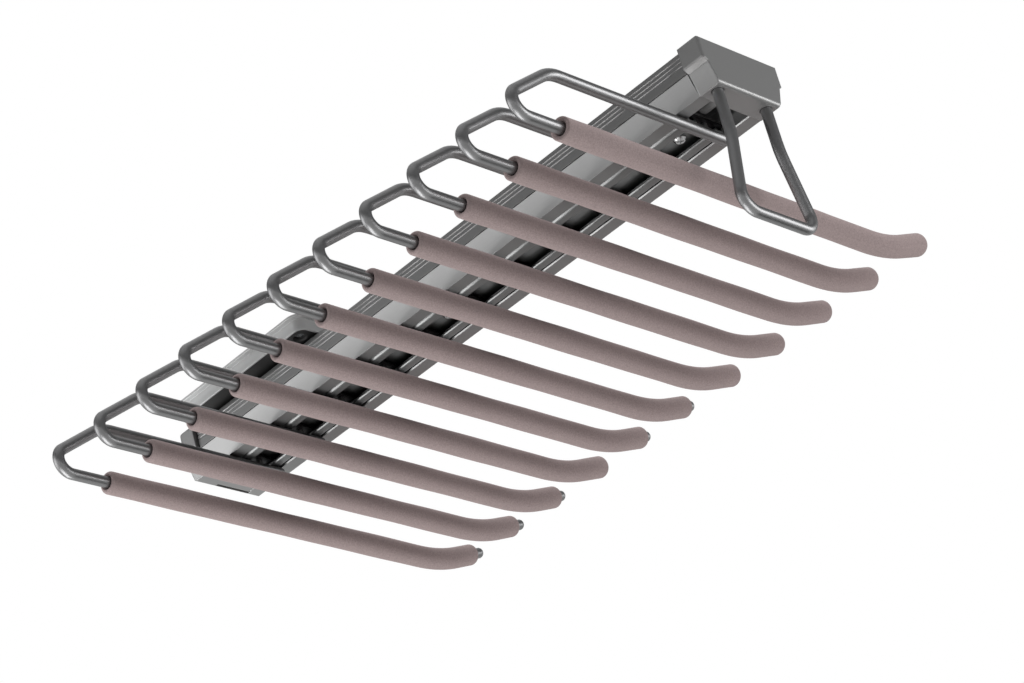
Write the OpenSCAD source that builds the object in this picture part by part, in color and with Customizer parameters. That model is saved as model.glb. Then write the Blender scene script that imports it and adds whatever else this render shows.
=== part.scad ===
// Pull-out trouser rack for mounting under a shelf.
// A small base is screwed under the shelf. Its carriage carries four rollers, and an extruded rail
// runs on them. Bent arms with soft sleeves hang from the rail, and a handle hangs from its front cap.
// Frame: origin at the centre of the screw pattern, on the face that meets the shelf.
// +Z is up, +Y points into the wardrobe, and the arms' open ends point along +X.
// The rack is drawn pulled out, with the base at the rear end of the rail.

/* [Arms] */
// Number of trouser arms
arm_count = 11; // [3:1:11]
// Distance from one arm to the next
arm_pitch = 40; // [36:1:40]
// Diameter of the bent arm rod
arm_d = 7.2; // [6:0.2:8]
// Height of the sleeve's centre line under the shelf face
arm_drop = 84.4; // [80:0.2:95]
// How far the top run of an arm reaches to the left of the rail's centre
arm_corner_x = 132; // [110:0.2:140]
// Slope of the arm's diagonal, in degrees from level
arm_slope = 33.5; // [30:0.5:40]
// Radius of the upper left bend, to the rod's centre line
arm_top_bend = 27; // [8:0.5:40]
// Radius of the tight lower left bend
arm_nose_bend = 8.9; // [7:0.1:12]
// Radius of the upward curve near the open end
arm_tip_bend = 115; // [90:5:180]
// Angle that the open end turns up
arm_tip_angle = 18.6; // [14:0.2:26]
// Distance from the rail's centre to the start of the upward curve
arm_tip_start = 128; // [110:1:132]
// Length of the straight tip after the curve, to the sleeve's end
arm_tip_run = 20; // [14:0.5:30]

/* [Sleeves] */
// Outer diameter of the soft sleeve
sleeve_d = 14.4; // [12:0.2:16]
// Distance from the rail's centre to the sleeve's left end
sleeve_left = 135.2; // [120:0.2:140]
// Radius of the sleeve's rounded rims
sleeve_rim = 1.6; // [1:0.2:3]

/* [Rail] */
// Length of the extruded rail between its caps
rail_len = 438; // [430:1:445]
// Width over the rail's upper sides
rail_w = 64.8; // [62:0.2:68]
// Width of the rail's underside
rail_bottom_w = 53.6; // [50:0.2:56]
// Height of the rail
rail_h = 29.5; // [29:0.5:31]
// Distance from the first arm's centre line to the rail's front end
rail_front_overhang = 21; // [18:0.5:24]

/* [Caps and handle] */
// Depth of the front and rear cap
cap_depth = 16; // [14:0.5:20]
// Diameter of the handle rod
handle_d = 7; // [6:0.2:8]
// Distance from the cap's underside to the centre of the handle's bar
handle_drop = 83.2; // [60:0.2:90]
// Distance between the handle's legs at the cap
handle_top_w = 42.4; // [38:0.2:44]
// Distance between the handle's sloping legs, carried on to the bar
handle_low_w = 65.2; // [50:0.2:68]

/* [Base] */
// Width of the base over its flange
base_w = 96.4; // [94:0.2:104]
// Length of the base over its flange
base_len = 126.4; // [122:0.2:136]
// Distance from the shelf face to the underside of the base
base_h = 9.5; // [9:0.1:11]
// Distance between screw holes across the rail
screw_dx = 72; // [70:1:76]
// Distance between screw holes along the rail
screw_dy = 100; // [96:1:104]
// Diameter of the screw holes
screw_hole_d = 5; // [4:0.1:5.5]

/* [Rollers] */
// Diameter of the rollers
roller_d = 17.8; // [17:0.1:17.9]
// Distance from the base's centre to each axle
axle_y = 40; // [34:1:42]
// Diameter of the axle pins
axle_d = 6; // [5:0.5:6]

/* [Hidden] */
$fn = 64;
eps = 0.01;

// Levels, measured down from the shelf face
rail_top = -12.3;
rail_bottom = rail_top - rail_h;
arm_z = -arm_drop;
cap_top = rail_top + 1;
cap_bottom = rail_bottom - 0.3;

// The rail along Y: the base sits over its rear end
rail_rear = 58;
rail_front = rail_rear - rail_len;
first_arm_y = rail_front + rail_front_overhang;

// Wall sizes of the extrusion
skin = 2.2;
step_z = rail_top - 15;
floor_top = rail_bottom + 8.3;
floor_under = rail_bottom + 6.5;
lip_under = rail_top - 3;
slot_w = 28.8;
pocket_w = 33.4;
side_slope = (rail_w / 2 - 0.8 - rail_bottom_w / 2) / (step_z - rail_bottom);

// The steel channel in the rail's underside
channel_w = 32.4;
channel_t = 1.3;
channel_slot = 16;
channel_round = 2.4;
channel_front = rail_front + rail_front_overhang - 1.4;
channel_screw_y = [for (along = [39.6, 239.6, 399.6]) rail_front + along];

// The carriage between the rollers
carriage_len = 100;
carriage_w = 22;
axle_z = (floor_top + lip_under) / 2;
roller_gap = 0.1;
roller_in = 17.5;
roller_w = 8;
bore_clearance = 0.05;
bolt_x = 5;
bolt_y = 24;

// The base
flange_t = 1.6;
flange_lip = 3.7;
flange_r = 10.2;
trim_t = 1.2;
well_r = flange_r - flange_lip;
bush_d = screw_hole_d + 2.2;
bush_set_back = 2.2;

function arm_y(i) = first_arm_y + i * arm_pitch;
function two_digits(i) = str(i < 10 ? "0" : "", i);
function arm_name(i) = str("arm_", two_digits(i + 1));
function sleeve_name(i) = str("sleeve_", two_digits(i + 1));

// Colours of the finishes
titanium = [0.36, 0.36, 0.37];
anodised = [0.62, 0.63, 0.63];
cap_grey = [0.50, 0.50, 0.50];
trim_grey = [0.72, 0.73, 0.73];
black_nylon = [0.08, 0.08, 0.08];
bright_steel = [0.80, 0.81, 0.82];
black_oxide = [0.13, 0.13, 0.14];
die_cast = [0.55, 0.56, 0.57];
white_nylon = [0.88, 0.88, 0.85];
buffer_rubber = [0.30, 0.30, 0.30];
taupe = [0.55, 0.50, 0.48];

// Extrudes a flat (x, z) shape along Y, from y0 to y1
module along_y(y0, y1) {
    translate([0, y1, 0]) rotate([90, 0, 0]) linear_extrude(y1 - y0) children();
}

// Extrudes a flat (y, z) shape along X, from x0 to x1
module along_x(x0, x1) {
    translate([x0, 0, 0]) rotate([90, 0, 90]) linear_extrude(x1 - x0) children();
}

// Lays a path drawn in the XY plane into the XZ plane
module upright() {
    rotate([90, 0, 0]) children();
}

// Both halves of a shape that is drawn for x > 0
module both_sides() {
    children();
    mirror([1, 0]) children();
}

// A symmetric outline from the points of its right side
module symmetric(half) {
    n = len(half);
    polygon(concat(half, [for (i = [1 : n]) [-half[n - i].x, half[n - i].y]]));
}

// Rectangle with round corners, centred
module round_rect(w, l, r) {
    square([w - 2 * r, l], center = true);
    square([w, l - 2 * r], center = true);
    for (x = [-1, 1], y = [-1, 1]) translate([x * (w / 2 - r), y * (l / 2 - r)]) circle(r);
}

// What has to be cut off a square corner at the origin to round it; the shape lies at x < 0, y < 0
module corner_cut(r) {
    difference() {
        translate([-r, -r]) square(r + 1);
        translate([-r, -r]) circle(r);
    }
}

// A rod of round section through the points of a flat path, with a bend radius at each inner point
function heading(p, i) = atan2(p[i + 1].y - p[i].y, p[i + 1].x - p[i].x);
function turn(p, i) = let (t = heading(p, i) - heading(p, i - 1)) t - 360 * round(t / 360);
function trim(p, bends, i) =
    i == 0 || i == len(p) - 1 ? 0 : bends[i] * tan(abs(turn(p, i)) / 2);

// The straight runs are a hair thinner and reach a little way into the bends, so all pieces fuse
joint_lap = 0.4;
joint_step = 0.02;

module bent_rod(p, bends, r) {
    for (i = [0 : len(p) - 2]) {
        a = heading(p, i);
        lap_0 = i == 0 ? 0 : joint_lap;
        lap_1 = i == len(p) - 2 ? 0 : joint_lap;
        start = p[i] + (trim(p, bends, i) - lap_0) * [cos(a), sin(a)];
        run = norm(p[i + 1] - p[i]) - trim(p, bends, i) - trim(p, bends, i + 1) + lap_0 + lap_1;
        translate([start.x, start.y, 0]) rotate([0, 90, a]) cylinder(h = run, r = r - joint_step);
    }
    for (i = [1 : len(p) - 2]) {
        a = heading(p, i - 1);
        t = turn(p, i);
        s = sign(t);
        start = p[i] - trim(p, bends, i) * [cos(a), sin(a)];
        centre = start + s * bends[i] * [-sin(a), cos(a)];
        translate([centre.x, centre.y, 0])
            rotate([0, 0, s > 0 ? a - 90 : a + 90 + t])
                rotate_extrude(angle = abs(t)) translate([bends[i], 0]) circle(r);
    }
}

// Outline of the rail's outer faces: upright upper sides and sloping lower sides
module rail_outline() {
    symmetric([[rail_w / 2, rail_top], [rail_w / 2, step_z], [rail_bottom_w / 2, rail_bottom]]);
}

// Three V grooves in the upper side and the fine seam above the sloping side
module rail_grooves_half() {
    groove_w = 1.1;
    groove_deep = 0.8;
    for (drop = [3.4, 6.1, 8.9])
        translate([rail_w / 2, rail_top - drop])
            polygon([[1, -groove_w - 0.5], [1, groove_w + 0.5], [0, groove_w / 2],
                     [-groove_deep, 0], [0, -groove_w / 2]]);
    translate([rail_w / 2 - 0.8, step_z - 0.6]) square([2, 0.6]);
}

// The roller chamber with its slot in the top and a guide rib along each lip
module roller_chamber() {
    wall_at_floor = rail_bottom_w / 2 + side_slope * (floor_top - rail_bottom) - skin;
    wall_at_step = rail_w / 2 - 0.8 - skin;
    symmetric([[slot_w / 2, rail_top + 1], [slot_w / 2, lip_under - 1.4],
               [roller_in - 0.8, lip_under - 1.4], [roller_in - 0.8, lip_under],
               [rail_w / 2 - skin, lip_under], [rail_w / 2 - skin, step_z + 2],
               [wall_at_step, step_z], [wall_at_floor, floor_top]]);
}

// The closed cell over each flange; slack makes the peg that pushes into it
module flange_cell(slack) {
    low = rail_bottom + 1.8 + slack;
    high = floor_under - slack;
    inner = pocket_w / 2 + 1.8 + slack;
    outer = rail_bottom_w / 2 - skin - slack;
    polygon([[inner, low], [outer + side_slope * (low - rail_bottom), low],
             [outer + side_slope * (high - rail_bottom), high], [inner, high]]);
}

// The pocket in the underside that takes the steel channel, with its mouth's edges broken
module rail_pocket() {
    edge = 0.7;
    symmetric([[pocket_w / 2, floor_under], [pocket_w / 2, rail_bottom + edge],
               [pocket_w / 2 + edge + 1, rail_bottom - 1]]);
}

module rail() {
    color(anodised) difference() {
        along_y(rail_front, rail_rear) difference() {
            rail_outline();
            both_sides() rail_grooves_half();
            roller_chamber();
            both_sides() flange_cell(0);
            rail_pocket();
        }
        for (y = channel_screw_y)
            translate([0, y, floor_under - 1]) cylinder(h = 5, d = 3.9);
        // The floor is cut away in front of the channel
        translate([-pocket_w / 2, rail_front - 1, floor_under - 1])
            cube([pocket_w, channel_front - rail_front + 1, 4]);
    }
}

// A box section from the rail's underside up, with its lower corners rounded
module round_bottom_box(w, z0, z1, r) {
    translate([-w / 2, z0 + r]) square([w, z1 - z0 - r]);
    translate([-w / 2 + r, z0]) square([w - 2 * r, z1 - z0]);
    for (s = [-1, 1]) translate([s * (w / 2 - r), z0 + r]) circle(r);
}

// Cold-rolled C channel: web on top, round shoulders, and two lips with rolled edges
module arm_channel() {
    lip_edge = channel_slot / 2 + channel_t;
    color(bright_steel) difference() {
        along_y(channel_front, rail_rear - 2) {
            difference() {
                round_bottom_box(channel_w, rail_bottom, floor_under, channel_round);
                round_bottom_box(channel_w - 2 * channel_t, rail_bottom + channel_t,
                                 floor_under - channel_t, channel_round - channel_t);
                translate([-lip_edge, rail_bottom - 1]) square([2 * lip_edge, channel_t + 1.5]);
            }
            for (s = [-1, 1]) translate([s * lip_edge, rail_bottom + channel_t]) circle(channel_t);
        }
        for (y = channel_screw_y)
            translate([0, y, floor_under - channel_t - 1]) cylinder(h = channel_t + 2, d = 4.4);
    }
}

// Cross-recessed pan-head screws that hold the channel in the rail
module channel_screws() {
    head_z = floor_under - channel_t;
    color(bright_steel) for (y = channel_screw_y) translate([0, y, head_z]) difference() {
        union() {
            cylinder(h = channel_t + 1.7, d = 3.8);
            translate([0, 0, -1.3]) cylinder(h = 1.3, d = 8);
            translate([0, 0, -2.3]) cylinder(h = 1, d1 = 5.6, d2 = 8);
        }
        for (a = [45, 135]) translate([0, 0, -1.9]) rotate([0, 0, a])
            cube([4.2, 0.9, 1.4], center = true);
    }
}

// One bent arm: top run under the rail, diagonal, tight nose, long run and upturned tip
arm_past_sleeve = 8;
arm_end_round = 2.6;
arm_top_z = rail_bottom - arm_d / 2 + 0.1;
nose_x = -arm_corner_x - (arm_drop + arm_top_z) / tan(arm_slope);
tip_tangent = arm_tip_bend * tan(arm_tip_angle / 2);
tip_corner = arm_tip_start + tip_tangent;
tip_run = tip_tangent + arm_tip_run + arm_past_sleeve;
arm_path = [
    [17.4, arm_top_z],
    [-arm_corner_x, arm_top_z],
    [nose_x, arm_z],
    [tip_corner, arm_z],
    [tip_corner + tip_run * cos(arm_tip_angle), arm_z + tip_run * sin(arm_tip_angle)]];
arm_bends = [0, arm_top_bend, arm_nose_bend, arm_tip_bend, 0];
stud_d = 4;
stud_top = floor_under - channel_t - 0.6;

module arm(i) {
    color(titanium) translate([0, arm_y(i), 0]) {
        difference() {
            upright() bent_rod(arm_path, arm_bends, arm_d / 2);
            // Pressed flat where the top run seats on the rail
            translate([-40, -5, rail_bottom]) cube([70, 10, 2]);
            // Rounded over at the open end
            upright() translate([arm_path[4].x, arm_path[4].y, 0]) rotate([0, 90, arm_tip_angle])
                rotate_extrude() translate([arm_d / 2, 0]) corner_cut(arm_end_round);
        }
        translate([0, 0, rail_bottom - 1]) cylinder(h = stud_top - rail_bottom + 1, d = stud_d);
    }
}

// Plates inside the channel that bridge its lips over each arm
module clamp_plates() {
    color(black_oxide) for (i = [0 : arm_count - 1])
        translate([0, arm_y(i), rail_bottom + 2 * channel_t]) difference() {
            translate([-13, -4, 0]) cube([26, 8, 1.2]);
            translate([0, 0, -1]) cylinder(h = 4, d = stud_d + 0.3);
        }
}

module hex_nut(across, bore, h) {
    difference() {
        cylinder(h = h, d = across / cos(30), $fn = 6);
        translate([0, 0, -1]) cylinder(h = h + 2, d = bore);
    }
}

// Thin nuts on the arms' studs
module clamp_nuts() {
    plate_top = rail_bottom + 2 * channel_t + 1.2;
    color(black_oxide) for (i = [0 : arm_count - 1])
        translate([0, arm_y(i), plate_top]) hex_nut(7, stud_d + 0.06, stud_top - plate_top - 0.1);
}

// Wall of a sleeve end as (radius, length): outer rim rounded, mouth opened out a little
sleeve_bore = arm_d / 2 + 0.1;

module sleeve_wall(run, mouth) {
    outer = sleeve_d / 2;
    difference() {
        polygon([[sleeve_bore + mouth, 0], [outer, 0], [outer, run], [sleeve_bore, run],
                 [sleeve_bore, 4 * mouth]]);
        translate([outer, 0]) mirror([0, 1]) corner_cut(sleeve_rim);
    }
}

// Soft sleeve: straight run, the long curve and its rounded open end
module sleeve(i) {
    straight = sleeve_left + arm_tip_start;
    lap_angle = 0.3;
    sleeve_step = 0.1;
    end_start = [arm_tip_start + arm_tip_bend * sin(arm_tip_angle),
                 arm_z + arm_tip_bend * (1 - cos(arm_tip_angle))];
    color(taupe) translate([0, arm_y(i), 0]) upright() {
        translate([-sleeve_left, arm_z, 0]) rotate([0, 90, 0])
            rotate_extrude() sleeve_wall(straight, 0.7);
        translate([arm_tip_start, arm_z + arm_tip_bend, 0]) rotate([0, 0, -90 - lap_angle])
            rotate_extrude(angle = arm_tip_angle + 2 * lap_angle)
                translate([arm_tip_bend, 0]) difference() {
                    circle(sleeve_d / 2 - sleeve_step);
                    circle(sleeve_bore + sleeve_step);
                }
        translate([end_start.x, end_start.y, 0]) rotate([0, 90, arm_tip_angle])
            translate([0, 0, arm_tip_run]) mirror([0, 0, 1])
                rotate_extrude() sleeve_wall(arm_tip_run, 0.4);
    }
}

// Outline of the caps: the upper sides stand proud and end in a rounded lip over the sloping sides
cap_half = rail_w / 2 + 2.5;

module cap_outline() {
    symmetric([[cap_half, cap_top], [cap_half - 0.2, step_z + 2.1], [cap_half - 0.7, step_z + 1.1],
               [cap_half - 1.7, step_z + 0.5], [rail_w / 2 - 1, step_z - 0.9],
               [rail_bottom_w / 2, cap_bottom]]);
}

// Side view of a cap as (y, z), with y running from the rail outwards: outer edges rounded
module cap_side_view(top_r, low_r) {
    difference() {
        translate([0, cap_bottom]) square([cap_depth, cap_top - cap_bottom]);
        translate([cap_depth, cap_top]) corner_cut(top_r);
        translate([cap_depth, cap_bottom]) mirror([0, 1]) corner_cut(low_r);
    }
}

// Top view of a cap as (x, y): outer corners rounded
module cap_top_view(r) {
    difference() {
        translate([-cap_half, 0]) square([2 * cap_half, cap_depth]);
        both_sides() translate([cap_half, cap_depth]) corner_cut(r);
    }
}

// A cap that grows along +Y, with pegs that push into the rail's closed cells; the rail ends at
// y = 0, and gap is left open between the two
module cap_blank(top_r, low_r, corner_r, gap) {
    peg_len = 10;
    intersection() {
        along_y(gap, cap_depth) cap_outline();
        along_x(-50, 50) cap_side_view(top_r, low_r);
        translate([0, 0, cap_bottom - 1]) linear_extrude(cap_top - cap_bottom + 2)
            cap_top_view(corner_r);
    }
    along_y(-peg_len, gap + 1) both_sides() flange_cell(0.15);
}

// The bumper's seat in a cap
bumper_z = axle_z - 5;
bumper_r = 3.9;
bumper_stem = 6;
front_pad = 20;
rear_pad = 7.5;
rear_gap = 1.2;

module bumper_socket() {
    translate([0, -eps, bumper_z]) rotate([-90, 0, 0]) cylinder(h = bumper_stem + 0.5, d = 6);
}

handle_y = rail_front - cap_depth + 7;

// Front cap: two leg holes in its underside, and pockets behind for their nuts
module front_cap() {
    leg_hole = handle_d + 0.4;
    color(cap_grey) difference() {
        translate([0, rail_front, 0]) mirror([0, 1, 0]) difference() {
            cap_blank(1.5, 2.4, 1.8, 0);
            bumper_socket();
        }
        for (x = [-1, 1]) translate([x * handle_top_w / 2, handle_y, 0]) {
            translate([0, 0, cap_bottom - 1]) cylinder(h = 4, d = leg_hole);
            translate([0, 0, cap_bottom - 1]) cylinder(h = 9, d = 5.3);
            translate([-5.5, -5, cap_bottom + 7]) cube([11, 20, 6]);
        }
    }
}

// Rear cap: stands a little off the rail, with rounder corners, and with a deep slot and a fine
// seam along its lower rear edge
module rear_cap() {
    slot_x = [-10, 17.6];
    color(cap_grey) translate([0, rail_rear, 0]) difference() {
        cap_blank(4, 1, 5.5, rear_gap);
        translate([0, rear_gap, 0]) bumper_socket();
        translate([slot_x[0], cap_depth - 2.8, cap_bottom - 1])
            cube([slot_x[1] - slot_x[0], 2, 7]);
        translate([slot_x[1] - 1.4, -1, cap_bottom - 1]) cube([0.6, cap_depth - 1.4, 1.5]);
    }
}

// Rubber buffer with a stem and a round nose that the carriage meets; it grows along +Y
module bumper(pad) {
    color(buffer_rubber) translate([0, 0, bumper_z]) rotate([-90, 0, 0]) rotate_extrude()
        difference() {
            union() {
                translate([0, -bumper_stem]) square([2.95, bumper_stem + 1]);
                square([bumper_r, pad]);
            }
            translate([bumper_r, pad]) corner_cut(3);
        }
}

module front_bumper() {
    translate([0, rail_front, 0]) bumper(front_pad);
}

module rear_bumper() {
    translate([0, rail_rear + rear_gap, 0]) mirror([0, 1, 0]) bumper(rear_pad + rear_gap);
}

// Handle: one rod bent to a stirrup, with turned-down ends for the nuts
handle_kink_z = cap_bottom - 30;
handle_bar_z = cap_bottom - handle_drop;
handle_path = [
    [-handle_top_w / 2, cap_bottom + 3],
    [-handle_top_w / 2, handle_kink_z],
    [-handle_low_w / 2, handle_bar_z],
    [handle_low_w / 2, handle_bar_z],
    [handle_top_w / 2, handle_kink_z],
    [handle_top_w / 2, cap_bottom + 3]];
handle_bends = [0, 60, 10, 10, 60, 0];

module handle() {
    color(titanium) translate([0, handle_y, 0]) {
        upright() bent_rod(handle_path, handle_bends, handle_d / 2);
        for (x = [-1, 1]) translate([x * handle_top_w / 2, 0, cap_bottom + 3])
            cylinder(h = 8.4, d = 5);
    }
}

module handle_nuts() {
    color(bright_steel) for (x = [-1, 1])
        translate([x * handle_top_w / 2, handle_y, cap_bottom + 7]) hex_nut(8, 5.06, 3.5);
}

// Base trim: a flange against the shelf and a rounded wall down to the block's underside
module base_trim() {
    color(trim_grey) {
        difference() {
            translate([0, 0, -flange_t]) linear_extrude(flange_t)
                round_rect(base_w, base_len, flange_r);
            translate([0, 0, -flange_t - 1]) linear_extrude(flange_t + 2)
                round_rect(base_w - 2 * flange_lip - 2 * trim_t,
                           base_len - 2 * flange_lip - 2 * trim_t, well_r - trim_t);
        }
        translate([0, 0, -base_h]) linear_extrude(base_h - flange_t) difference() {
            round_rect(base_w - 2 * flange_lip, base_len - 2 * flange_lip, well_r);
            round_rect(base_w - 2 * flange_lip - 2 * trim_t,
                       base_len - 2 * flange_lip - 2 * trim_t, well_r - trim_t);
        }
    }
}

// Base block: moulded filler with ribbed pockets above, screw towers and a seat for the carriage
module base_block() {
    block_w = base_w - 2 * flange_lip - 2 * trim_t - 0.2;
    block_len = base_len - 2 * flange_lip - 2 * trim_t - 0.2;
    rib_h = base_h - 3;
    color(black_nylon) difference() {
        translate([0, 0, -base_h]) linear_extrude(base_h) round_rect(block_w, block_len, well_r - trim_t - 0.1);
        for (x = [-1, 1], y = [-1, 0, 1])
            translate([x * 22, y * 30, -rib_h]) linear_extrude(rib_h + 1) round_rect(14, 26, 2);
        for (x = [-1, 1]) for (y = [-1, 1]) {
            translate([x * screw_dx / 2, y * screw_dy / 2, -base_h - 1])
                cylinder(h = base_h + 2, d = bush_d + 0.2);
            // Opened out below, where the screw's head goes in
            translate([x * screw_dx / 2, y * screw_dy / 2, -base_h - 0.2])
                cylinder(h = 1.2, d1 = bush_d + 2.6, d2 = bush_d + 0.2);
            translate([x * bolt_x, y * bolt_y, -base_h - 1]) cylinder(h = base_h + 2, d = 4.4);
            translate([x * bolt_x, y * bolt_y, -4]) cylinder(h = 5, d = 8);
        }
    }
}

// Steel eyelets that line the screw holes, set back from the block's underside
module screw_bushes() {
    bush_len = base_h - bush_set_back;
    color(bright_steel) for (x = [-1, 1], y = [-1, 1])
        translate([x * screw_dx / 2, y * screw_dy / 2, -bush_len]) difference() {
            cylinder(h = bush_len, d = bush_d);
            translate([0, 0, -1]) cylinder(h = bush_len + 2, d = screw_hole_d);
        }
}

// Carriage, side view as (y, z): a beam with a boss round each axle and pockets between them
module carriage_side_view() {
    beam_low = axle_z - 8;
    beam_top = lip_under - 2.4;
    difference() {
        translate([-carriage_len / 2, beam_low]) square([carriage_len, beam_top - beam_low]);
        for (s = [-1, 1]) {
            translate([s * carriage_len / 2, beam_low]) circle(2);
            translate([s * axle_y, axle_z]) circle(axle_d / 2);
        }
        for (y = [-9, 9]) translate([y - 5, beam_low - 1]) square([10, 7.5]);
    }
}

module carriage() {
    neck_w = 20;
    color(die_cast) difference() {
        union() {
            along_x(-carriage_w / 2, carriage_w / 2) carriage_side_view();
            translate([-neck_w / 2, -carriage_len / 2, lip_under - 2.4])
                cube([neck_w, carriage_len, -base_h - lip_under + 2.4]);
        }
        for (x = [-1, 1], y = [-1, 1])
            translate([x * bolt_x, y * bolt_y, -base_h - 10]) cylinder(h = 11, d = 4);
    }
}

// Bolts down through the block into the carriage
module carriage_bolts() {
    color(bright_steel) for (x = [-1, 1], y = [-1, 1]) translate([x * bolt_x, y * bolt_y, 0])
        difference() {
            union() {
                translate([0, 0, -base_h - 9]) cylinder(h = base_h + 5.5, d = 3.9);
                translate([0, 0, -4]) cylinder(h = 3.4, d = 7);
            }
            translate([0, 0, -2.6]) cylinder(h = 3, d = 3.46, $fn = 6);
        }
}

// Axle pin with a groove near each end for its clip
module axle(y) {
    half = 27;
    groove = half - 1.4;
    color(bright_steel) translate([0, y, axle_z]) rotate([0, 90, 0]) {
        translate([0, 0, -groove]) cylinder(h = 2 * groove, d = axle_d);
        for (s = [0, 1]) mirror([0, 0, s]) {
            translate([0, 0, groove]) cylinder(h = 0.7, d = axle_d - 1.2);
            translate([0, 0, groove + 0.7]) cylinder(h = half - groove - 0.7, d = axle_d);
        }
    }
}

module front_axle() {
    axle(-axle_y);
}

module rear_axle() {
    axle(axle_y);
}

// A ring round an axle, from x0 to x1 on the right side
module axle_ring(y, x0, x1, bore, d) {
    for (s = [0, 1]) mirror([s, 0, 0]) translate([x0, y, axle_z]) rotate([0, 90, 0]) difference() {
        cylinder(h = x1 - x0, d = d);
        translate([0, 0, -1]) cylinder(h = x1 - x0 + 2, d = bore);
    }
}

// Spacers between the carriage and the rollers
module axle_spacers() {
    color(bright_steel) for (y = [-axle_y, axle_y])
        axle_ring(y, carriage_w / 2, roller_in, axle_d + 0.04, 9);
}

// Clips outside the rollers
module axle_clips() {
    color(bright_steel) for (y = [-axle_y, axle_y])
        axle_ring(y, 25.6, 26.3, axle_d - 1.16, 9);
}

// Nylon roller on a plain bore: chamfered tread, thinner web and a hub
module roller(side, y) {
    x0 = roller_in + roller_gap;
    w = roller_w - 2 * roller_gap;
    tread = roller_d / 2;
    bore = axle_d / 2 + bore_clearance;
    color(white_nylon) mirror([side < 0 ? 1 : 0, 0, 0])
        translate([x0, y, axle_z]) rotate([0, 90, 0]) rotate_extrude()
            polygon([[bore, 0], [bore + 1.6, 0], [bore + 1.6, 1.2], [tread - 1.8, 1.2],
                     [tread - 1.8, 0], [tread - 0.5, 0], [tread, 0.5], [tread, w - 0.5],
                     [tread - 0.5, w], [tread - 1.8, w], [tread - 1.8, w - 1.2],
                     [bore + 1.6, w - 1.2], [bore + 1.6, w], [bore, w]]);
}

module roller_front_left() {
    roller(-1, -axle_y);
}

module roller_front_right() {
    roller(1, -axle_y);
}

module roller_rear_left() {
    roller(-1, axle_y);
}

module roller_rear_right() {
    roller(1, axle_y);
}

base_trim();
base_block();
screw_bushes();
carriage();
carriage_bolts();
front_axle();
rear_axle();
axle_spacers();
axle_clips();
roller_front_left();
roller_front_right();
roller_rear_left();
roller_rear_right();
rail();
arm_channel();
channel_screws();
clamp_plates();
clamp_nuts();
front_cap();
rear_cap();
front_bumper();
rear_bumper();
handle();
handle_nuts();
for (i = [0 : arm_count - 1]) {
    arm(i);
    sleeve(i);
}
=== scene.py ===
"""Looks of the pull-out trouser rack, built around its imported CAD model.

The soft sleeves are made here as numpy surfaces. Every other piece is the CAD model's own node, and gets
its finish here. Lengths are in metres, and sizes that repeat part.scad's are written in millimetres.
"""
import math

import bpy
import numpy as np
from mathutils import Matrix, Vector


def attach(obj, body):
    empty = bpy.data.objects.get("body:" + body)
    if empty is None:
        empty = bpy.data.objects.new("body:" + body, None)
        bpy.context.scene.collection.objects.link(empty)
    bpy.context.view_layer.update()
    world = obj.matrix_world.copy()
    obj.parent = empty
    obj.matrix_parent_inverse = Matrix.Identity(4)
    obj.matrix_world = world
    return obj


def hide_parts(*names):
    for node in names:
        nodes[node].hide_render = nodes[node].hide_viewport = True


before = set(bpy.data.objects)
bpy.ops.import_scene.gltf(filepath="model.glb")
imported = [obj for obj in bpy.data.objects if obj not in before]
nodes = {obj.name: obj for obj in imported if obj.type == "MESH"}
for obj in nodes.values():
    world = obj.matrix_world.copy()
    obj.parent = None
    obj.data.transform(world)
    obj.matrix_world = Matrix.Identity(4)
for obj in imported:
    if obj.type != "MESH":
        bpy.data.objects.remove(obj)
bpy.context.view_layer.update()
scene = bpy.context.scene

MM = 0.001

# ---------------------------------------------------------------- sizes repeated from part.scad, in mm
ARM_COUNT = 11
ARM_PITCH = 40.0
FIRST_ARM_Y = -359.0
ARM_Z = -84.4
SLEEVE_LEFT = -135.2
TIP_START = 128.0
TIP_BEND = 115.0
TIP_ANGLE = math.radians(18.6)
TIP_RUN = 20.0
ROD_PAST_SLEEVE = 8.0
SLEEVE_R = 7.2
SLEEVE_BORE = 3.7

# ---------------------------------------------------------------- sizes of the foam, in mm
LEAST_WALL = 0.9  # of the end face, between its rim and the bore
FAR_RIM = 2.2  # radius of the rim where the far end is cut open
CLOSED_TIP = 0.4  # foam over the rod's end where it closes
FINE_RUN = 62.0  # the last stretch, which turns up and has its rings closer together
WAVE_LONG = 0.07  # height of the wall's slow waves along the sleeve
WAVE_ROUND = 0.06  # and of those that wind round it
TURN_STEPS = 56  # points round a sleeve

# ---------------------------------------------------------------- camera, fitted to the photograph
CAMERA_PLACE = (-1.4373, -1.3041, -1.1163)
CAMERA_AZIMUTH = math.radians(-52.017)
CAMERA_ELEVATION = math.radians(-29.558)
CAMERA_ROLL = math.radians(-15.399)
CAMERA_LENS = 123.35


def camera():
    """A camera below the front left, looking up at the rack. Its axes come from azimuth, elevation and
    roll."""
    az, el, roll = CAMERA_AZIMUTH, CAMERA_ELEVATION, CAMERA_ROLL
    ahead = Vector((-math.sin(az) * math.cos(el), math.cos(az) * math.cos(el), -math.sin(el)))
    level = ahead.cross(Vector((0, 0, 1))).normalized()
    above = level.cross(ahead)
    right = math.cos(roll) * level + math.sin(roll) * above
    up = -math.sin(roll) * level + math.cos(roll) * above
    data = bpy.data.cameras.new("studio_camera")
    data.lens, data.sensor_width = CAMERA_LENS, 36.0
    data.clip_start, data.clip_end = 0.05, 100.0
    made = bpy.data.objects.new("studio_camera", data)
    scene.collection.objects.link(made)
    turned = Matrix((right, up, -ahead)).transposed().to_4x4()
    made.matrix_world = Matrix.Translation(CAMERA_PLACE) @ turned
    scene.camera = made


camera()


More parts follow.
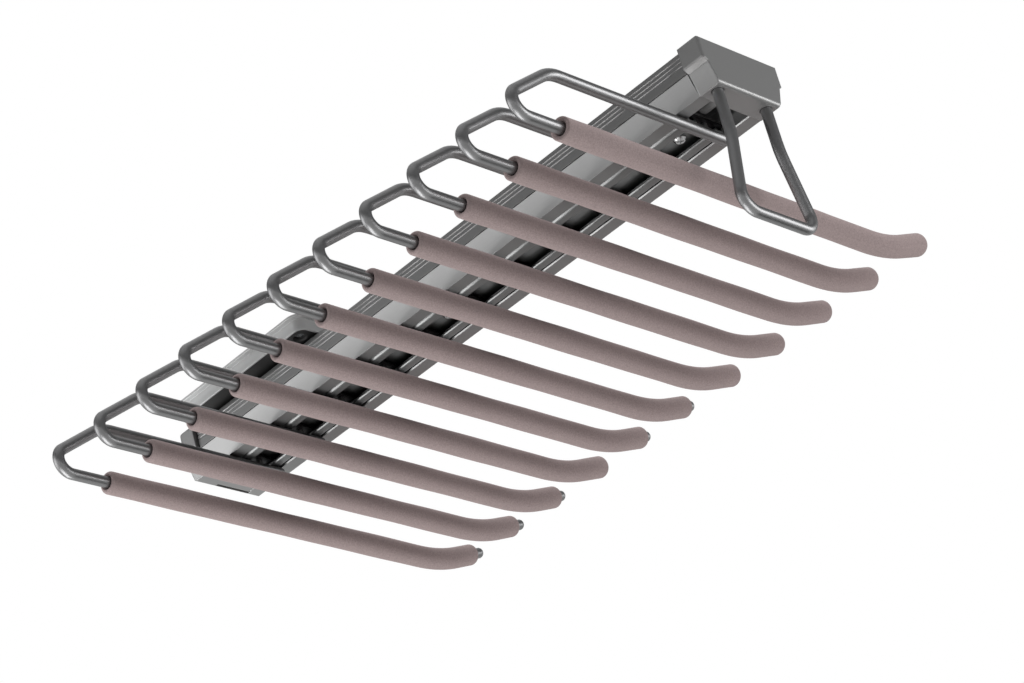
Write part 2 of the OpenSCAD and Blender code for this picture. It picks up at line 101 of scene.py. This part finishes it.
# ---------------------------------------------------------------- meshes from numpy grids
def grid_faces(rows, columns):
    """Quads between the points of a grid that closes on itself both ways, as indices into its flat list."""
    r, c = np.meshgrid(np.arange(rows), np.arange(columns), indexing="ij")
    down, along = (r + 1) % rows, (c + 1) % columns
    corners = [r * columns + c, r * columns + along, down * columns + along, down * columns + c]
    return np.stack(corners, -1).reshape(-1, 4)


def mesh_object(name, points, faces, body):
    """A smooth mesh object at the origin, from points in mm, that rides on a CAD body."""
    mesh = bpy.data.meshes.new(name)
    mesh.vertices.add(len(points))
    mesh.vertices.foreach_set("co", (points * MM).astype(np.float32).ravel())
    mesh.loops.add(faces.size)
    mesh.loops.foreach_set("vertex_index", faces.astype(np.int32).ravel())
    mesh.polygons.add(len(faces))
    mesh.polygons.foreach_set("loop_start", np.arange(0, faces.size, 4, dtype=np.int32))
    mesh.polygons.foreach_set("use_smooth", np.ones(len(faces), bool))
    mesh.update(calc_edges=True)
    made = bpy.data.objects.new(name, mesh)
    scene.collection.objects.link(made)
    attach(made, body)
    return made


# ---------------------------------------------------------------- soft sleeves
def arm_line(s):
    """Points and headings of an arm's long run at distances s from its sleeve's place, as (x, z, angle).

    The run is level up to the curve, turns up at radius TIP_BEND through TIP_ANGLE, and ends straight."""
    level = TIP_START - SLEEVE_LEFT
    curve = TIP_BEND * TIP_ANGLE
    angle = np.clip((s - level) / TIP_BEND, 0.0, TIP_ANGLE)
    before = np.minimum(s, level)
    after = np.maximum(s - level - curve, 0.0)
    x = SLEEVE_LEFT + before + TIP_BEND * np.sin(angle) + after * np.cos(TIP_ANGLE)
    z = ARM_Z + TIP_BEND * (1 - np.cos(angle)) + after * np.sin(TIP_ANGLE)
    return x, z, angle


def sleeve_profile(start, end, rod_end, soft, round_by):
    """The wall's closed outline as (distance along the sleeve, radius). It goes from the end face round a
    rim of radius soft, along the outer wall, round the far end, and back through the bore, which opens
    out at its mouth as the knife pulled the foam. Where round_by is 0 the far end is cut open short of the
    rod's end. Otherwise the foam closes over the rod's end in a dome, a superellipse of power round_by:
    2 is a round one, and less is nearer a cone."""
    soft = min(soft, SLEEVE_R - SLEEVE_BORE - LEAST_WALL)
    turn = np.linspace(0, math.pi / 2, 8)
    near = np.stack([start + soft * (1 - np.sin(turn)), SLEEVE_R - soft + soft * np.cos(turn)], -1)[::-1]
    wall_s = np.concatenate([np.linspace(start + 5, end - FINE_RUN, 40),
                             np.linspace(end - FINE_RUN + 4, end - 3, 28)])
    wall = np.stack([wall_s, np.full_like(wall_s, SLEEVE_R)], -1)
    if round_by:
        # The dome outside, and inside it the hollow that takes the rod's rounded end
        swing = np.linspace(0, math.pi / 2, 18)
        far = np.stack([end + (rod_end + CLOSED_TIP - end) * np.sin(swing) ** (2 / round_by),
                        SLEEVE_R * np.maximum(np.cos(swing), 0.004) ** (2 / round_by)], -1)
        far_mouth = np.array([[rod_end + 0.1, 0.03], [rod_end + 0.1, 1.2], [rod_end - 2.2, SLEEVE_BORE]])
        bore_end = rod_end - 4
    else:
        # A round rim, and inside it a mouth that opens out by 0.9 mm
        far = np.stack([end - FAR_RIM * (1 - np.sin(turn)),
                        SLEEVE_R - FAR_RIM + FAR_RIM * np.cos(turn)], -1)
        far_mouth = np.array([[end, SLEEVE_BORE + 0.9], [end - 0.4, SLEEVE_BORE + 0.4]])
        bore_end = end - 1.6
    bore_s = np.linspace(bore_end, start + 3.2, 34)
    bore = np.stack([bore_s, np.full_like(bore_s, SLEEVE_BORE)], -1)
    # The near mouth opens out by 1 mm
    mouth = np.array([[start + 1.6, SLEEVE_BORE + 0.25], [start + 0.6, SLEEVE_BORE + 0.6],
                      [start + 0.1, SLEEVE_BORE + 1.0]])
    return np.concatenate([near, wall, far, far_mouth, bore, mouth])


def sleeve(index, left, slid, soft, round_by):
    """One sleeve as a surface of two parameters: the wall's outline carried along the arm's line, and the
    angle round it. The outer wall swells and thins by a tenth of a millimetre in slow waves, as soft foam
    does. left is where its left end sits, slid is how far short of its place its far end is cut or starts
    to close, and soft is the radius of its left rim, all in mm. round_by is the power of a closed end."""
    end = TIP_START - SLEEVE_LEFT + TIP_BEND * TIP_ANGLE + TIP_RUN
    outline = sleeve_profile(left - SLEEVE_LEFT, end - slid, end + ROD_PAST_SLEEVE, soft, round_by)
    turns = np.linspace(0, 2 * math.pi, TURN_STEPS, endpoint=False)
    s, radius = outline[:, :1], outline[:, 1:]
    x, z, angle = arm_line(s)
    # The waves fade out from the outer wall, where outside is 1, to the bore, where it is 0
    outside = np.clip((radius - SLEEVE_BORE - 1.6) / 1.9, 0.0, 1.0)
    wave = (WAVE_LONG * np.sin(s / 23.0 + 1.7 * index)
            + WAVE_ROUND * np.sin(s / 9.1 + 2.0 * turns + index))
    wavy = radius + outside * wave
    across, over = wavy * np.cos(turns), wavy * np.sin(turns)
    points = np.stack([x - over * np.sin(angle),
                       FIRST_ARM_Y + ARM_PITCH * index + across,
                       z + over * np.cos(angle)], -1)
    faces = grid_faces(len(outline), len(turns))
    name = f"sleeve_{index + 1:02d}"
    made = mesh_object(f"foam_{name}", points.reshape(-1, 3), faces, "sliding_rail")
    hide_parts(name)
    return made


# Foam slips a little on its rod and is trimmed by hand: left end, slip of the far end, softness of the left
# rim and power of the far end, from the first arm to the last. The photograph shows the rod's end beyond
# the foam on arms 6, 7, 9, 10 and 11 only
LEFT = (-136.2, -134.5, -136.2, -136.2, -134.5, -135.4, -135.4, -133.6, -133.6, -135.4, -135.4)
SLID = (0.6, 0.4, -1.2, 0.2, -2.0, 0.2, 0.0, -1.4, 1.2, 2.4, 2.8)
SOFT = (0.8, 1.2, 2.2, 2.2, 2.2, 1.6, 1.8, 2.6, 2.6, 2.6, 2.6)
FAR_END = (1.45, 1.3, 1.3, 1.4, 1.4, 0, 0, 1.4, 0, 0, 0)
sleeves = [sleeve(i, *sizes) for i, sizes in enumerate(zip(LEFT, SLID, SOFT, FAR_END))]


# ---------------------------------------------------------------- materials
def colour(code):
    """Linear RGBA of an sRGB hex colour."""
    parts = np.array([int(code[i:i + 2], 16) for i in (1, 3, 5)]) / 255
    linear = np.where(parts <= 0.04045, parts / 12.92, ((parts + 0.055) / 1.055) ** 2.4)
    return (*linear.tolist(), 1.0)


def add(tree, kind, inputs=(), **settings):
    """Adds a node. Each input is a number, a colour, or another node's output, which is linked."""
    made = tree.nodes.new(kind)
    for key, value in settings.items():
        setattr(made, key, value)
    for key, value in dict(inputs).items():
        if isinstance(value, bpy.types.NodeSocket):
            tree.links.new(value, made.inputs[key])
        else:
            made.inputs[key].default_value = value
    return made


def surface(name, shade, rough, metallic=0.0, grain_mm=1.0, stretch=(1, 1, 1), rough_spread=0.06,
            tint=0.06, bump_mm=0.0, edge_mm=0.0, **shader):
    """A finish whose colour, roughness and height vary with one grain. grain_mm is the grain's real size,
    and stretch makes it longer along an axis, for drawn and rolled metal. edge_mm is how far a sharp edge
    is worn round, and shader holds further sockets."""
    made = bpy.data.materials.new(name)
    made.use_nodes = True
    tree = made.node_tree
    tree.nodes.clear()
    place = add(tree, "ShaderNodeTexCoord").outputs["Object"]
    # The noise has one cell per unit, so its scale is one over the grain's size
    scale = [1 / (grain_mm * MM * s) for s in stretch]
    spread = add(tree, "ShaderNodeMapping", {"Vector": place, "Scale": scale}).outputs["Vector"]
    grain = add(tree, "ShaderNodeTexNoise", {"Vector": spread, "Scale": 1.0, "Detail": 4.0, "Roughness": 0.6})
    grain = grain.outputs["Fac"]
    # Noise keeps mostly between 0.3 and 0.7, which is spread over the whole way from one end to the other
    spread_out = {"Value": grain, "From Min": 0.3, "From Max": 0.7}
    dark, light = [[c * f for c in colour(shade)[:3]] + [1.0] for f in (1 - tint, 1 + tint)]
    tone = add(tree, "ShaderNodeMapRange", spread_out).outputs["Result"]
    mixed = add(tree, "ShaderNodeMix", {"Factor": tone, "A": dark, "B": light}, data_type="RGBA")
    blur = add(tree, "ShaderNodeMapRange", {**spread_out, "To Min": rough - rough_spread,
                                            "To Max": rough + rough_spread})
    sockets = {"Base Color": mixed.outputs["Result"], "Roughness": blur.outputs["Result"],
               "Metallic": metallic, **shader}
    if edge_mm:
        worn = add(tree, "ShaderNodeBevel", {"Radius": edge_mm * MM}, samples=8)
        sockets["Normal"] = worn.outputs["Normal"]
    if bump_mm:
        under = {"Normal": sockets["Normal"]} if edge_mm else {}
        bump = add(tree, "ShaderNodeBump",
                   {"Height": grain, "Strength": 1.0, "Distance": bump_mm * MM, **under})
        sockets["Normal"] = bump.outputs["Normal"]
    body = add(tree, "ShaderNodeBsdfPrincipled", sockets)
    add(tree, "ShaderNodeOutputMaterial", {"Surface": body.outputs["BSDF"]})
    return made


def dress(material, *names):
    """Gives a material to CAD nodes or pieces."""
    for name in names:
        piece = nodes.get(name) or bpy.data.objects[name]
        piece.data.materials.clear()
        piece.data.materials.append(material)


# Closed-cell foam rubber, extruded as a tube: dull, with fine open grain that catches no highlight. The
# real cells are 0.3 mm, drawn 0.9 mm so that they show
foam_rubber = surface("foam_rubber", "#a49392", 0.92, grain_mm=0.9, tint=0.20, bump_mm=0.09)
# Drawn steel rod, bent, blasted and nickel plated: an even satin grey with wide soft highlights
satin_nickel = surface("satin_nickel", "#909091", 0.37, metallic=1.0, grain_mm=1.6, tint=0.02,
                       rough_spread=0.02)
# Extruded 6063 aluminium, matt anodised: silky, with faint die lines along its length
anodised = surface("anodised_aluminium", "#959595", 0.34, metallic=1.0, grain_mm=0.5, stretch=(1, 300, 1),
                   tint=0.03, rough_spread=0.03, edge_mm=0.2)
# Cold-rolled steel strip, zinc plated: brighter, with rolling lines along its length
zinc_strip = surface("zinc_plated_strip", "#888989", 0.34, metallic=1.0, grain_mm=0.4, stretch=(1, 120, 1),
                     tint=0.06, bump_mm=0.003, edge_mm=1.4)
# Zinc plated machine screws, axles and clips: bright, slightly grey
zinc_screw = surface("zinc_plated_screw", "#c8c9ca", 0.22, metallic=1.0, grain_mm=0.6, tint=0.05,
                     bump_mm=0.002)
# Black oxide on steel: nearly black with an oily sheen
black_oxide = surface("black_oxide_steel", "#333334", 0.38, metallic=1.0, grain_mm=0.6, tint=0.08,
                      bump_mm=0.003)
# Moulded ABS end caps, silver-grey lacquer with fine flake: an even satin
grey_lacquer = surface("grey_lacquered_abs", "#9b9b9b", 0.34, metallic=0.5, grain_mm=0.35, tint=0.03,
                       bump_mm=0.003, edge_mm=1.5)
# Moulded ABS base trim, bright silver lacquer
silver_lacquer = surface("silver_lacquered_abs", "#cfd0d0", 0.34, metallic=0.3, grain_mm=0.35, tint=0.03,
                         bump_mm=0.003, edge_mm=0.6)
# Glass-filled black nylon block: matt with a fine spark-eroded texture
black_nylon = surface("black_glass_filled_nylon", "#2a2a2a", 0.50, grain_mm=0.4, tint=0.12,
                      bump_mm=0.012, edge_mm=0.5)
# Natural nylon rollers: milky white, faintly waxy
roller_nylon = surface("natural_nylon", "#dcdbd4", 0.38, grain_mm=1.2, tint=0.02, bump_mm=0.002)
# Pressure die-cast zinc carriage, tumbled: dull grey with a cast skin
die_cast = surface("die_cast_zinc", "#909192", 0.48, metallic=1.0, grain_mm=0.9, tint=0.08, bump_mm=0.015)
# Moulded grey rubber buffers: matt
buffer_rubber = surface("grey_buffer_rubber", "#a4a4a4", 0.75, grain_mm=0.5, tint=0.04, bump_mm=0.01)

dress(foam_rubber, *[s.name for s in sleeves], *[n for n in nodes if n.startswith("sleeve_")])
dress(satin_nickel, "handle", *[n for n in nodes if n.startswith("arm_") and n != "arm_channel"])
dress(anodised, "rail")
dress(zinc_strip, "arm_channel")
dress(zinc_screw, "channel_screws", "handle_nuts", "screw_bushes", "carriage_bolts", "front_axle",
      "rear_axle", "axle_spacers", "axle_clips")
dress(black_oxide, "clamp_plates", "clamp_nuts")
dress(grey_lacquer, "front_cap", "rear_cap")
dress(silver_lacquer, "base_trim")
dress(black_nylon, "base_block")
dress(roller_nylon, "roller_front_left", "roller_front_right", "roller_rear_left", "roller_rear_right")
dress(die_cast, "carriage")
dress(buffer_rubber, "front_bumper", "rear_bumper")


# ---------------------------------------------------------------- studio
def plain(name, kind, **inputs):
    """A stage material of one shader."""
    made = bpy.data.materials.new(name)
    made.use_nodes = True
    tree = made.node_tree
    tree.nodes.clear()
    body = add(tree, kind, inputs)
    add(tree, "ShaderNodeOutputMaterial", {"Surface": body.outputs[0]})
    return made


def stage_mesh(name, points, faces, material):
    """A plain mesh that belongs to the studio, from points in metres."""
    mesh = bpy.data.meshes.new(name)
    mesh.from_pydata(points, [], faces)
    mesh.materials.append(material)
    made = bpy.data.objects.new(name, mesh)
    scene.collection.objects.link(made)
    return made


def seen_rays(tree):
    """1 for rays from the camera, from gloss and through glass, which show a surface as it looks, else 0."""
    rays = add(tree, "ShaderNodeLightPath").outputs
    seen = rays["Is Camera Ray"]
    for kind in ("Is Glossy Ray", "Is Transmission Ray"):
        seen = add(tree, "ShaderNodeMath", {0: seen, 1: rays[kind]}, operation="MAXIMUM").outputs[0]
    return seen


def floor(paleness):
    """A plain pale studio floor, far below the hanging rack so that the low camera stays above it. It looks
    paler by paleness than the lamps alone make it, without lighting the rack more."""
    half, level = 30.0, -3.2
    corners = [(i * half, j * half, level) for i, j in ((-1, -1), (1, -1), (1, 1), (-1, 1))]
    material = bpy.data.materials.new("pale_floor")
    material.use_nodes = True
    tree = material.node_tree
    tree.nodes.clear()
    matt = add(tree, "ShaderNodeBsdfDiffuse", {"Color": colour("#f0f0ee")})
    glow = add(tree, "ShaderNodeEmission",
               {"Color": (paleness, paleness, paleness, 1.0), "Strength": seen_rays(tree)})
    both = add(tree, "ShaderNodeAddShader", {0: matt.outputs[0], 1: glow.outputs[0]})
    add(tree, "ShaderNodeOutputMaterial", {"Surface": both.outputs[0]})
    stage_mesh("studio_floor", corners, [(0, 1, 2, 3)], material)


def seen_by_gloss_alone(made):
    """Hides an object from every ray but those that gloss sends out, so it lights and shades nothing."""
    made.visible_camera = made.visible_diffuse = False
    made.visible_shadow = made.visible_transmission = False


def grey_cloth(name, low, high, shade, dip=0.0, rise=0.0):
    """Grey cloth hung round the studio, as a surface of the turn and of the way from its low hem to its high
    one, each given as (radius, height). The low hem dips by dip, but rises by rise at the left rear. Only
    gloss sees it, so that metal has something dark to show beside the lamps; it throws no shade and cameras
    look past it."""
    sides = 48
    turn = np.linspace(0, 2 * math.pi, sides, endpoint=False)
    away = np.clip(1.45 - np.cos(turn - 2.6), 0.0, 1.0)
    hems = [(low[0], low[1] - dip * away + rise * (1 - away)), (high[0], high[1] + 0 * turn)]
    points = np.concatenate([np.stack([r * np.cos(turn), r * np.sin(turn), z], -1) for r, z in hems])
    at = np.arange(sides)
    after = (at + 1) % sides
    faces = np.stack([at, at + sides, after + sides, after], -1)
    material = plain(name, "ShaderNodeEmission", Color=colour(shade), Strength=1.0)
    seen_by_gloss_alone(stage_mesh(name, points.tolist(), faces.tolist(), material))


def dark_card(name, place, aim, width, height, shade):
    """A dark card at a place, square to the line to a point, that only gloss sees: metal shows it as a dark
    band between the lamps' bright ones."""
    ahead = (Vector(aim) - Vector(place)).normalized()
    across = ahead.cross(Vector((0, 0, 1))).normalized() * width / 2
    above = across.normalized().cross(ahead) * height / 2
    corners = [Vector(place) + i * across + j * above for i, j in ((-1, -1), (1, -1), (1, 1), (-1, 1))]
    material = plain(name, "ShaderNodeEmission", Color=colour(shade), Strength=1.0)
    seen_by_gloss_alone(stage_mesh(name, corners, [(0, 1, 2, 3)], material))


def white_surround(daylight):
    """A world that the camera, gloss and glass see as white, and that lights the object at daylight's
    level."""
    world = bpy.data.worlds.new("white_studio")
    world.use_nodes = True
    scene.world = world
    tree = world.node_tree
    tree.nodes.clear()
    white = add(tree, "ShaderNodeBackground", {"Color": (1, 1, 1, 1), "Strength": 1.0})
    light = add(tree, "ShaderNodeBackground", {"Color": (1, 1, 1, 1), "Strength": daylight})
    both = add(tree, "ShaderNodeMixShader", {0: seen_rays(tree), 1: light.outputs[0], 2: white.outputs[0]})
    add(tree, "ShaderNodeOutputWorld", {"Surface": both.outputs[0]})


def softbox(name, place, aim, width, height, level):
    """A soft area lamp at a place, facing a point. level is its brightness against white paper, so its
    power is level x pi x its area."""
    data = bpy.data.lights.new(name, "AREA")
    data.shape, data.size, data.size_y = "RECTANGLE", width, height
    data.energy = level * math.pi * width * height
    made = bpy.data.objects.new(name, data)
    scene.collection.objects.link(made)
    made.location = place
    made.rotation_mode = "QUATERNION"
    made.rotation_quaternion = (Vector(aim) - Vector(place)).to_track_quat("-Z", "Y")
    made.visible_camera = False


floor(0.30)
grey_cloth("grey_wall_cloth", (2.4, 0.55), (2.4, 2.5), "#707070", dip=0.5, rise=0.5)
grey_cloth("grey_ceiling_cloth", (2.4, 2.5), (0.01, 2.8), "#a6a6a6")
dark_card("dark_low_card", (1.02, -0.55, -1.25), (0.0, -0.16, -0.08), 0.9, 0.8, "#3c3c3c")
white_surround(0.22)
softbox("overhead_softbox", (0.0, -0.2, 3.5), (0.0, -0.2, 0.0), 4.0, 4.0, 2.3)
softbox("front_right_strip", (0.65, -1.35, -0.15), (0.0, -0.36, -0.08), 1.6, 0.60, 3.3)
softbox("rear_left_softbox", (-0.85, 0.82, 0.04), (-0.03, 0.0, -0.03), 1.2, 0.9, 1.35)
softbox("low_rear_softbox", (-0.45, 0.62, -1.25), (0.0, -0.16, -0.08), 1.8, 0.9, 3.2)

scene.view_settings.view_transform = "Standard"
